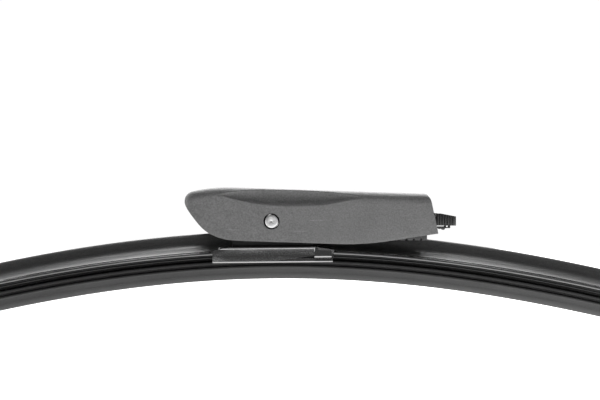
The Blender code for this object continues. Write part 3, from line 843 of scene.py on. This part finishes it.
@dataclass
class Pivot:
    """Clamp, saddle and pin: what joins the blade to the connector.

    Attributes:
        workshop: What makes the pieces.
        bow: The blade's curve, for its lean.
        left: The clamp's left end.
        right: Its right end.
        top: Its top.
        bottom: Its bottom.
        half: Half its width.
        sheet: Its sheet's thickness.
        shoulder: From the pin to where its top opens and its walls start to slope.
        taper: How far its walls slope down from there.
        lid_half: Half width of the top that is left out past the shoulders.
        wall_half: Half length of the saddle's low side walls.
        wall_bottom: Their bottom.
        wall_top: Their top.
        wall_middle: From the saddle's middle plane to the middle of a wall.
        wall_sheet: Half a wall's thickness.
        pin_radius: The pin's radius.
        pin_half: Half its length.
    """

    workshop: Workshop
    bow: Bow = field(default_factory=Bow)
    left: float = -19.4
    right: float = 19.7
    top: float = -8.42
    bottom: float = -13.5
    half: float = 8.0
    sheet: float = 0.8
    shoulder: float = 14.2
    taper: float = 1.1
    lid_half: float = 6.0
    wall_half: float = 9.7
    wall_bottom: float = -8.3
    wall_top: float = -6.3
    wall_middle: float = 5.05
    wall_sheet: float = 0.43
    pin_radius: float = 2.15
    pin_half: float = 10.85

    @staticmethod
    def fold(corners: list[Corner]) -> list[Point]:
        """The section of the folded sheet: half of it given from its hooked lip up, then mirrored."""
        other = [(-u, v, r) for u, v, r in corners]
        return rounded([*other, *reversed(corners)], steps=4, closed=False)

    def clamp(self) -> Object:
        """Folded sheet round both rails, with hooked lips and tapered ends."""
        half, top, bottom = self.half, self.top, self.bottom
        whole = self.fold([(3.9, bottom, 0.0), (half + 0.08, bottom, 0.4), (half, -11.35, 0.15),
                           (half - 0.05, -11.15, 0.1), (half - 0.05, top - 0.68, 0.05),
                           (half + 0.25, top - 0.4, 0.12), (half + 0.05, top, 0.2)])
        notched = self.fold([(3.9, bottom, 0.0), (half + 0.05, bottom, 0.5), (half, -12.75, 0.1),
                             (half - 1.15, -12.5, 0.1), (half - 0.75, -11.5, 0.1), (half - 0.97, -11.4, 0.05),
                             (half - 0.97, top, 0.3)])
        shoulder = self.shoulder
        stops = [(self.left, whole), (-shoulder, whole), (-12.0, whole), (0.0, whole), (13.75, whole),
                 (13.85, notched), (shoulder, notched), (self.right - 0.35, notched),
                 (self.right - 0.3, whole), (self.right, whole)]
        bm = skin([[Vector((x, y, z)) for y, z in outline] for x, outline in stops], closed=False, caps=False)
        for side, end in ((-1, self.left), (1, self.right)):
            low = Vector((end, 0, self.top - self.taper))
            high = Vector((side * shoulder, 0, self.top))
            normal = (low - high).cross(Vector((0, 1, 0))).normalized()
            normal = normal if normal.z > 0 else -normal
            ends = [f for f in bm.faces if f.calc_center_median().x * side > shoulder * MM]
            geom = [*ends, *{e for f in ends for e in f.edges}, *{v for f in ends for v in f.verts}]
            bmesh.ops.bisect_plane(bm, geom=geom, plane_co=high * MM, plane_no=normal, clear_outer=True)
        top = (self.top - 0.9) * MM
        lids = [f for f in bm.faces if abs(f.calc_center_median().x) > shoulder * MM
                and f.calc_center_median().z > top and abs(f.calc_center_median().y) < self.lid_half * MM]
        bmesh.ops.delete(bm, geom=lids, context="FACES")
        bmesh.ops.recalc_face_normals(bm, faces=bm.faces)
        bmesh.ops.transform(bm, matrix=self.bow.lean(), verts=bm.verts)
        place = Place("blade", "clamp_steel", ("centre_clamp",))
        obj = self.workshop.piece("clamp_sheet", bm, CLAMP_BLACK, place, crease=60.0)
        wall = obj.modifiers.new("sheet", "SOLIDIFY")
        wall.thickness = self.sheet * MM
        wall.offset = -1.0
        edge = obj.modifiers.new("edges", "BEVEL")
        edge.width = 0.12 * MM
        edge.segments = 2
        edge.limit_method = "ANGLE"
        edge.angle_limit = math.radians(50)
        return obj

    def saddle(self) -> Object:
        """Foot on the clamp with the lug that carries the pin, and low walls between its ears."""
        place = Place("blade", "clamp_steel", ("pivot_saddle",))
        # The saddle's near-black coat is painted shade.
        obj = self.workshop.from_node("pivot_saddle", SADDLE_PAINTED_SHADE, place)
        end, low, high = self.wall_half, self.wall_bottom, self.wall_top
        outline = rounded([(-end, low, 0.0), (end, low, 0.0), (end, high, 0.1), (-end, high, 0.1)])
        middles = [side * self.wall_middle for side in (-1, 1)]
        walls = [slab(outline, y - self.wall_sheet, y + self.wall_sheet, FACING_Y) for y in middles]
        bm = joined(walls)
        bmesh.ops.recalc_face_normals(bm, faces=bm.faces)
        bmesh.ops.transform(bm, matrix=self.bow.lean(), verts=bm.verts)
        bm.from_mesh(obj.data)
        bm.to_mesh(obj.data)
        bm.free()
        return obj

    def rivets(self) -> None:
        """The two short rivets through saddle and clamp, with domed heads."""
        for side, label in ((Side.MINUS, "left"), (Side.PLUS, "right")):
            dome = [(0.0, -6.05), *((1.75 * math.sin(a), -7.1 + 1.05 * math.cos(a)) for a in
                                    (math.radians(d) for d in range(15, 91, 15)))]
            profile = [*dome, (0.95, -7.15), (0.95, -9.4), (0.0, -9.4)]
            bm = turned_about(profile, Vector((0, 0, 1)), Vector((side.value * 10.5, 0, 0)), 32)
            bmesh.ops.transform(bm, matrix=self.bow.lean(), verts=bm.verts)
            place = Place("blade", "pin_steel", (f"saddle_rivet_{label}",))
            self.workshop.piece(f"{label}_saddle_rivet", bm, PIN_BRIGHT, place)

    def pin(self) -> Object:
        """Pivot pin with a turned face, a small centre dimple and chamfered rims."""
        r, end = self.pin_radius, self.pin_half
        face = [(0.0, end - 0.16), (0.2, end - 0.14), (0.4, end - 0.04), (0.6, end - 0.01), (1.1, end),
                (r - 0.3, end - 0.01), (r - 0.1, end - 0.1), (r, end - 0.32)]
        profile = [*face, *((radius, -h) for radius, h in reversed(face))]
        bm = turned_about(profile, Vector((0, 1, 0)), Vector((0, 0, 0)), 64)
        place = Place("blade", "pin_steel", ("pivot_rivet",))
        return self.workshop.piece("pivot_pin", bm, PIN_BRIGHT, place, crease=50.0)

    def washers(self) -> None:
        """Thin washers between the lug and the insert's cheeks."""
        for side, label in ((-1, "front"), (1, "rear")):
            bm = collar([(2.3, 3.6, 0.05), (3.4, 3.6, 0.12), (3.4, 4.15, 0.12), (2.3, 4.15, 0.05)], side)
            place = Place("blade", "pin_steel", (f"pivot_washer_{label}",))
            self.workshop.piece(f"{label}_pivot_washer", bm, PIN_BRIGHT, place)

    def build(self) -> None:
        """Make the pieces between blade and connector."""
        self.clamp()
        self.saddle()
        self.rivets()
        self.pin()
        self.washers()


# ------------------------------------------------------------------------------------ connector


@dataclass
class Housing:
    """The connector's grey cover: a hood with rounded shoulders and two finger scoops.

    Attributes:
        workshop: What makes the pieces.
        nose: Where it starts.
        nose_half: Half width just behind the nose.
        end_half: Half width at the open end.
        shoulder: Radius of the shoulders.
        corner: Radius of the nose's corners seen from above.
        wall: Thickness of its wall.
        crown: How much the roof rises to its middle.
        hole: Radius of the pin's hole.
        hollow: How far a scoop sinks below the line across it, as a share of that line.
        cavity_half: Half width of the space inside.
        cavity_start: Where that space starts.
        cavity_nose: How far that space is drawn in at its start.
        cavity_corner: Radius of the space's upper corners.
        slant_from: Where the sections start leaning towards the open end's slope.
        end: Where the cover ends, at its lower edge.
        roof_end: Where its roof ends.
    """

    workshop: Workshop
    nose: float = -28.55
    nose_half: float = 10.8
    end_half: float = 10.4
    shoulder: float = 3.0
    corner: float = 4.5
    wall: float = 1.5
    crown: float = 0.25
    hole: float = 2.6
    slant_from: float = 38.0
    hollow: float = 0.17
    cavity_half: float = 8.8
    cavity_start: float = -24.0
    cavity_nose: float = 2.0
    cavity_corner: float = 3.3
    end: float = 53.9
    roof_end: float = 50.4

    def top_line(self) -> list[Point]:
        """The roof's line from the nose to the open end."""
        rise = smooth_line([(-28.6, 6.6), (-28.35, 7.9), (-27.5, 8.95), (-25.8, 9.7), (-21.6, 10.42),
                            (-17.7, 10.76), (-13.9, 10.84), (-8.0, 10.68)])
        return [*rise, (19.0, 9.8), (36.0, 9.2), (56.0, 8.6)]

    def lower_line(self) -> list[Point]:
        """The lower edge from the nose to the open end."""
        curve = smooth_line([(-28.6, 6.3), (-28.0, 5.0), (-26.9, 3.3), (-24.9, 0.7), (-22.9, -1.7),
                             (-20.8, -3.5), (-18.7, -4.6), (-15.9, -5.6), (-11.4, -6.2), (-0.6, -6.6)])
        tail = smooth_line([(9.4, -6.9), (22.6, -7.35), (28.0, -7.3), (34.0, -6.85), (39.8, -6.1),
                            (45.5, -5.2), (53.9, -4.0)])
        return [*curve, *tail]

    def half_width(self, x: float) -> float:
        """Half width at x: a slow taper and the nose's rounded corners."""
        share = (x - self.nose) / (self.end - self.nose)
        taper = self.nose_half + (self.end_half - self.nose_half) * share
        into = self.nose + self.corner - x
        if into <= 0:
            return taper
        return taper - self.corner + math.sqrt(max(0.0, self.corner ** 2 - into ** 2))

    def outline(self, half: float, top: float, bottom: float) -> list[Point]:
        """Half of a section without its scoop, from the rim to the middle of the roof."""
        radius = min(self.shoulder, half * 0.6, max(0.05, (top - bottom) * 0.9))
        side = [(half, bottom + (top - radius - bottom) * i / 12) for i in range(12)]
        turn = arc((half - radius, top - radius), radius, 0, 90, 14)
        roof = [(half - radius) * (1 - i / 10) for i in range(1, 11)]
        crown = [(y, top + self.crown * (1 - (y / max(half - radius, 0.1)) ** 2)) for y in roof]
        return [*side, *turn, *crown]

    @staticmethod
    def scoop_edges() -> tuple[list[Point], list[Point]]:
        """The scoop's lower and upper edges as (x, z) lines in the side view."""
        lower = smooth_line([(-16.4, 8.5), (-14.4, 7.9), (-12.2, 7.25), (-6.5, 6.0), (-0.7, 5.3), (7.4, 5.0),
                             (14.3, 5.2), (19.5, 5.8), (25.2, 6.9), (29.2, 7.75)])
        upper = smooth_line([(-16.4, 8.55), (-14.2, 9.35), (-11.0, 9.95), (-6.0, 10.28), (0.0, 10.28),
                             (7.0, 10.12), (13.0, 9.9), (18.0, 9.6), (22.0, 9.2), (26.0, 8.5), (29.2, 7.8)])
        return lower, upper

    def scooped(self, x: float, half_outline: list[Point]) -> list[Point]:
        """Half of a section with its points gathered on the scoop's edges and pressed into it.

        Args:
            x: Where the section is.
            half_outline: The section without its scoop, from the rim up.

        Returns:
            A section of a fixed number of points.
        """
        lengths = [0.0]
        for a, b in zip(half_outline, half_outline[1:]):
            lengths.append(lengths[-1] + math.dist(a, b))
        total = lengths[-1]

        def at(s: float) -> Point:
            """The point at length s along the section, from its rim."""
            for (a, b), (p, q) in zip(zip(lengths, lengths[1:]), zip(half_outline, half_outline[1:])):
                if s <= b:
                    t = (s - a) / max(b - a, 1e-9)
                    return p[0] + (q[0] - p[0]) * t, p[1] + (q[1] - p[1]) * t
            return half_outline[-1]

        def reach_of(z: float) -> float:
            """The length along the section at which it reaches height z."""
            for i, (p, q) in enumerate(zip(half_outline, half_outline[1:])):
                if q[1] >= z:
                    return lengths[i] + math.dist(p, q) * max(0.0, z - p[1]) / max(q[1] - p[1], 1e-9)
            return total * 0.6

        lower, upper = self.scoop_edges()
        edges = [reach_of(height_at(line, x)) for line in (lower, upper)]
        if not lower[0][0] < x < lower[-1][0]:
            edges[1] = edges[0]
        deepest = (edges[0] + edges[1]) / 2
        strip, lip = 0.5, 0.12
        low, high = min(edges[0], deepest - strip), max(edges[1], deepest + strip)
        marks = [low * i / 16 for i in range(16)]
        marks += [low - lip * 3, low - lip] if low > 1.0 else [low * 0.97, low * 0.985]
        marks += [low + lip + (high - low - 2 * lip) * i / 14 for i in range(15)]
        marks += [high + lip, high + lip * 3]
        rest = total - high - lip * 3
        marks += [high + lip * 3 + rest * i / 12 for i in range(1, 13)]
        first, last = Vector(at(edges[0])), Vector(at(edges[1]))
        chord = last - first
        inward = Vector((-chord.y, chord.x)) * self.hollow
        points = []
        for s in sorted(marks):
            spot = Vector(at(s))
            if edges[0] < s < edges[1] and chord.length > 0.02:
                t = (s - edges[0]) / (edges[1] - edges[0])
                spot = first + chord * t + inward * (4 * t * (1 - t))
            points.append((spot.x, spot.y))
        return points

    def rings(self) -> list[list[Vector]]:
        """All sections from the nose to the slanted open end, as open arches."""
        top_line, lower_line = self.top_line(), self.lower_line()
        near = [self.nose + self.corner * (1 - math.cos(math.radians(a))) for a in range(8, 91, 6)]
        along = near + [near[-1] + (self.slant_from - near[-1]) * i / 90 for i in range(1, 91)]
        rings = []
        for x in along:
            half = self.half_width(x)
            bottom = min(height_at(lower_line, x), height_at(top_line, x) - 0.15)
            section = self.scooped(x, self.outline(half, height_at(top_line, x), bottom))
            rings.append([Vector((x, -y, z)) for y, z in section] +
                         [Vector((x, y, z)) for y, z in reversed(section[:-1])])
        slope = smooth_line([(-4.0, 53.9), (-1.5, 53.45), (2.3, 52.6), (6.8, 51.6), (8.2, 50.75),
                             (9.2, 50.2)])
        for i in range(1, 15):
            t = i / 14
            top = height_at(top_line, self.slant_from + (self.roof_end - self.slant_from) * t)
            bottom = height_at(lower_line, self.slant_from + (self.end - self.slant_from) * t)
            middle = self.slant_from + (52.0 - self.slant_from) * t
            section = self.scooped(middle, self.outline(self.half_width(middle), top, bottom))
            ring = [Vector((self.slant_from + (height_at(slope, z) - self.slant_from) * t, -y, z))
                    for y, z in section]
            rings.append(ring + [Vector((p.x, -p.y, p.z)) for p in reversed(ring[:-1])])
        return rings

    def cavity(self) -> BMesh:
        """The space inside the cover, as one closed shape with rounded edges."""
        top_line, nose, corner = self.top_line(), self.cavity_nose, self.cavity_corner
        turns = [math.radians(a) for a in (0, 20, 40, 60, 75, 90)]
        stops = [(self.cavity_start + nose * (1 - math.cos(a)), nose * (1 - math.sin(a))) for a in turns]
        rings = []
        for x, drawn_in in [*stops, *((-20.0 + 4 * k, 0.0) for k in range(21))]:
            half = self.cavity_half - drawn_in
            top = height_at(top_line, x) - self.wall - drawn_in
            arch = [(half, -12.0), *arc((half - corner, top - corner), corner, 0, 90, 8)]
            rings.append([Vector((x, y, z)) for y, z in mirrored(arch)])
        return skin(rings)

    def build(self) -> None:
        """Make the cover, hollow it out, drill its pin holes and round its rims."""
        place = Place("connector", "housing_plastic", ("housing",))
        obj = self.workshop.piece("cover", skin(self.rings()), HOUSING_GREY, place, crease=70.0)
        drill = turned_about([(0.0, 14.0), (self.hole, 14.0), (self.hole, -14.0), (0.0, -14.0)],
                             Vector((0, 1, 0)), Vector((0, 0, 0)), 64)
        self.workshop.carve(obj, [self.cavity(), drill], 0.2)


@dataclass
class Insert:
    """The dark parts inside the cover: block, bushes, stop pad and the two squeeze tabs.

    Attributes:
        workshop: What makes the pieces.
        tab_start: Where a tab's head starts.
        tab_end: Where it ends.
        tab_inner: From the middle plane to the head's inner face.
        tab_outer: From the middle plane to its outer face.
        ribs: How many ribs the outer face has.
        rib_pitch: Distance between two ribs.
        rib_radius: Radius of a rib.
        hinge_x: Where the tab's arm bends.
    """

    workshop: Workshop
    tab_start: float = 53.9
    tab_end: float = 60.4
    tab_inner: float = 2.9
    tab_outer: float = 5.75
    ribs: int = 7
    rib_pitch: float = 0.86
    rib_radius: float = 0.36
    hinge_x: float = 28.0

    def tab(self, side: Side, label: str) -> Object:
        """One squeeze tab: ribbed head, neck, arm and the catch lip below."""
        s = side.value
        edge: list[Point] = [(self.tab_start, self.tab_outer - 0.25)]
        for i in range(self.ribs):
            centre = self.tab_start + 0.5 + self.rib_pitch * i
            edge += arc((centre, self.tab_outer - 0.25), self.rib_radius, 175, 5, 6)
        head = [(self.tab_start, self.tab_inner), *edge, (self.tab_end, self.tab_outer - 0.3),
                (self.tab_end, self.tab_inner + 0.4), (self.tab_end - 0.5, self.tab_inner)]
        bm = slab([(x, s * y) for x, y in head], -1.5, 2.5, FACING_Z)
        bmesh.ops.bisect_plane(bm, geom=[*bm.verts, *bm.edges, *bm.faces],
                               plane_co=Vector((55.3, 0, 2.5)) * MM,
                               plane_no=Vector((1.1, 0, 5.7)).normalized(), clear_outer=True)
        bmesh.ops.holes_fill(bm, edges=[e for e in bm.edges if e.is_boundary], sides=0)
        bmesh.ops.recalc_face_normals(bm, faces=bm.faces)
        soften(bm, 0.12, sharper_than=50)
        arm = rounded([(self.hinge_x - 1.2, 3.0, 1.0), (self.hinge_x + 1.2, 3.0, 0.5), (31.0, 3.3, 0.5),
                       (54.6, 3.3, 0.2), (54.6, 4.8, 0.2), (31.0, 4.8, 0.5), (self.hinge_x + 1.2, 5.1, 0.5),
                       (self.hinge_x - 1.2, 5.1, 1.0)])
        shaft = slab([(x, s * y) for x, y in arm], -1.4, 1.2, FACING_Z)
        soften(shaft, 0.15, sharper_than=60)
        lip = rounded([(51.2, -2.35, 0.05), (55.2, -2.35, 0.1), (56.0, -2.9, 0.15), (56.5, -2.9, 0.15),
                       (56.9, -2.35, 0.1), (58.5, -2.35, 0.15), (58.5, -1.3, 0.1), (58.0, -1.3, 0.1),
                       (57.9, -2.0, 0.1), (51.2, -2.0, 0.05)])
        low, high = sorted((s * 3.5, s * 5.5))
        catch = slab(lip, low, high, FACING_Y)
        soften(catch, 0.08, sharper_than=60)
        place = Place(f"tab_{label}", "insert_plastic", (f"squeeze_tab_{label}",))
        return self.workshop.piece(f"{label}_squeeze_tab", joined([bm, shaft, catch]), INSERT_BLACK, place)

    def build(self) -> None:
        """Make the pieces inside the cover."""
        for node, rounding in (("arm_insert", 0.2), ("stop_pad", 0.1)):
            place = Place("connector", "insert_plastic", (node,))
            self.workshop.from_node(node, INSERT_BLACK, place, rounding)
        for side, label in ((Side.MINUS, "front"), (Side.PLUS, "rear")):
            bush = collar([(2.35, 4.5, 0.1), (3.1, 4.5, 0.1), (3.1, 8.4, 0.1), (2.35, 8.4, 0.1)], side.value)
            place = Place("connector", "insert_plastic", (f"pivot_bush_{label}",))
            self.workshop.piece(f"{label}_pivot_bush", bush, INSERT_BLACK, place)
            self.tab(side, label)


# ------------------------------------------------------------------------------------ studio


@dataclass
class Studio:
    """Pale floor, soft white surroundings and the camera.

    Attributes:
        camera_place: The camera's place in millimetres.
        lens: Its focal length.
        sensor: Its sensor's width.
        floor_gap: Gap between the blade's lowest point and the floor.
        sheet_half: Half the side of the floor's sheet, in metres.
        sheet_back: How far the sheet's middle lies behind the pin, in metres.
        glow: How strongly the floor glows at its left and at its right.
        glow_reach: Half the width over which the glow grows, in metres.
        bright: How bright the tent is behind the object.
        dim: How bright it is on the camera's side.
        tent_axis: The direction along which the tent fades.
        tent_fade: Where along it the fading starts and ends.
        seen_white: How bright the tent is where the camera sees it directly.
        lamp_place: The back lamp's place in metres.
    """

    camera_place: tuple[float, float, float] = (9.2, -330.8, 6.9)
    lens: float = 59.5
    sensor: float = 36.0
    floor_gap: float = 0.5
    sheet_half: float = 1.0
    sheet_back: float = 0.58
    glow: tuple[float, float] = (0.54, 1.35)
    glow_reach: float = 0.15
    bright: float = 2.7
    dim: float = 0.12
    tent_axis: tuple[float, float, float] = (0.0, -0.94, 0.34)
    tent_fade: tuple[float, float] = (-0.85, 0.12)
    seen_white: float = 1.02
    lamp_place: tuple[float, float, float] = (0.0, 0.57, 0.82)

    def camera(self) -> None:
        """A level camera that looks along +Y at the connector."""
        data = bpy.data.cameras.new("camera")
        data.lens = self.lens
        data.sensor_width = self.sensor
        data.clip_start = 0.01
        data.clip_end = 100.0
        obj = put("camera", data)
        obj.location = Vector(self.camera_place) * MM
        obj.rotation_euler = (math.pi / 2, 0.0, 0.0)
        bpy.context.scene.camera = obj

    def floor(self, lowest: float) -> None:
        """A wide white sheet just below the blade's tips, lit from within as a light table is."""
        bm = bmesh.new()
        bmesh.ops.create_grid(bm, x_segments=2, y_segments=2, size=self.sheet_half,
                              matrix=Matrix.Translation((0, self.sheet_back, lowest - self.floor_gap * MM)))
        obj = put("floor", mesh_of("floor", bm))
        g = Graph("floor_white")
        across = g.node("ShaderNodeSeparateXYZ", {0: g.place()}).outputs["X"]
        low, high = self.glow
        light = g.between(across, -self.glow_reach, self.glow_reach, low, high)
        g.set(base_color=(0.85, 0.85, 0.85, 1.0), roughness=0.9, emission_color=(1.0, 1.0, 1.0, 1.0),
              emission_strength=light)
        obj.data.materials.append(g.material)
        obj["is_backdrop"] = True

    def surroundings(self) -> None:
        """A white tent that is dim on the camera's side; seen directly it is white all round."""
        world = bpy.data.worlds.new("tent")
        bpy.context.scene.world = world
        world.use_nodes = True
        nodes, links = world.node_tree.nodes, world.node_tree.links
        background = nodes["Background"]
        background.inputs["Color"].default_value = (1.0, 1.0, 1.0, 1.0)
        where = nodes.new("ShaderNodeTexCoord")
        ahead = nodes.new("ShaderNodeVectorMath")
        ahead.operation = "DOT_PRODUCT"
        ahead.inputs[1].default_value = self.tent_axis
        gap = nodes.new("ShaderNodeMapRange")
        gap.interpolation_type = "SMOOTHSTEP"
        start, end = self.tent_fade
        limits = {"From Min": start, "From Max": end, "To Min": self.bright, "To Max": self.dim}
        for key, value in limits.items():
            gap.inputs[key].default_value = value
        seen = nodes.new("ShaderNodeLightPath")
        choose = nodes.new("ShaderNodeMix")
        choose.inputs["B"].default_value = self.seen_white
        links.new(where.outputs["Generated"], ahead.inputs[0])
        links.new(ahead.outputs["Value"], gap.inputs["Value"])
        links.new(seen.outputs["Is Camera Ray"], choose.inputs["Factor"])
        links.new(gap.outputs["Result"], choose.inputs["A"])
        links.new(choose.outputs["Result"], background.inputs["Strength"])

    def lamp(self, name: str, place: tuple[float, float, float], size: float, watts: float) -> None:
        """A soft square lamp that faces the connector."""
        data = bpy.data.lights.new(name, "AREA")
        data.size = size
        data.energy = watts
        obj = put(name, data)
        obj.location = place
        obj.rotation_euler = (-Vector(place)).to_track_quat("-Z", "Y").to_euler()

    def build(self, lowest: float) -> None:
        """Set up the studio."""
        self.camera()
        self.floor(lowest)
        self.surroundings()
        self.lamp("back_light", self.lamp_place, size=0.8, watts=11.0)
        bpy.context.scene.view_settings.view_transform = "Standard"


def main() -> None:
    """Build the studio and every sub-assembly."""
    logging.basicConfig(level=logging.INFO, format="%(name)s: %(message)s")
    cad_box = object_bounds()
    Studio().build(cad_box[0].z)
    workshop = Workshop()
    Blade(workshop).build()
    Pivot(workshop).build()
    Housing(workshop).build()
    Insert(workshop).build()


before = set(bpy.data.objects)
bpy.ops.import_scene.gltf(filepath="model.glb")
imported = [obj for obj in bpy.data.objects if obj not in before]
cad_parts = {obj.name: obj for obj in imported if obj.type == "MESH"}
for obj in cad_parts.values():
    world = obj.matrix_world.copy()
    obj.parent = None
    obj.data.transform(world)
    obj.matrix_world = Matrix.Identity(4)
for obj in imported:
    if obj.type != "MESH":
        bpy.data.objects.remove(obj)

if __name__ == "__main__":
    main()
